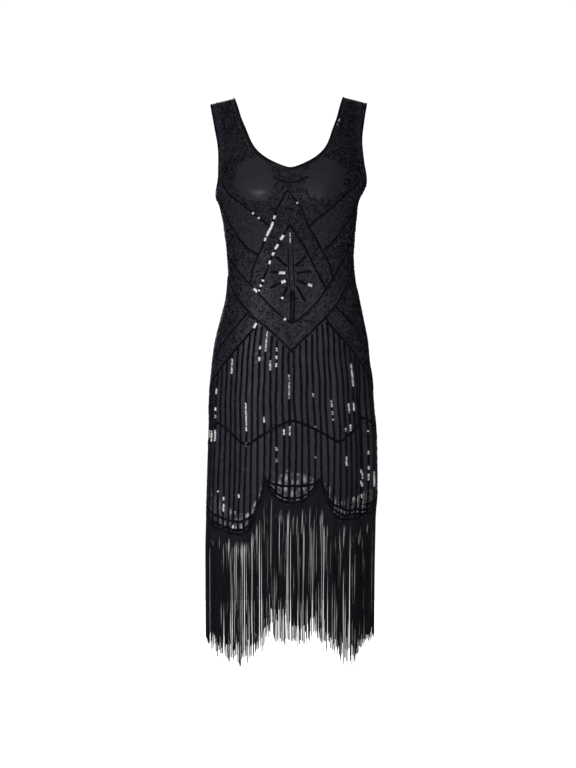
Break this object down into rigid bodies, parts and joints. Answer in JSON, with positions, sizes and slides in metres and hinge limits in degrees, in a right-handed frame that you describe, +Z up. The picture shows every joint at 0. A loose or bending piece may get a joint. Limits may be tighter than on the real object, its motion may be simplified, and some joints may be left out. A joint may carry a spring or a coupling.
{
  "type": "flapper dress",
  "caption": "Sleeveless beaded flapper dress, worn shape and hollow, with a scoop neck, a scalloped hem and a long string fringe.",
  "frame": {"origin": "middle of the shoulders, midway between the two shoulder seams at the height of the straps' tops, where the wearer holds the dress up", "axes": "front of the dress faces -Y, +X is on the right seen from the front, +Z is up"},
  "size_m": [0.3424, 0.235, 1.1119],
  "materials": {
    "beaded_mesh": "sheer mesh with glossy beads and sequins",
    "lining": "matte knit with a soft sheen",
    "binding": "satin",
    "fringe": "silky cord",
    "sequin": "gloss"
  },
  "bodies": {
    "root": {"shell_front": "beaded_mesh", "shell_back": "beaded_mesh", "lining_front": "lining", "lining_back": "lining", "neck_binding": "binding", "armhole_binding_left": "binding", "armhole_binding_right": "binding", "fringe_front": "fringe", "fringe_back": "fringe"}
  },
  "joints": []
}
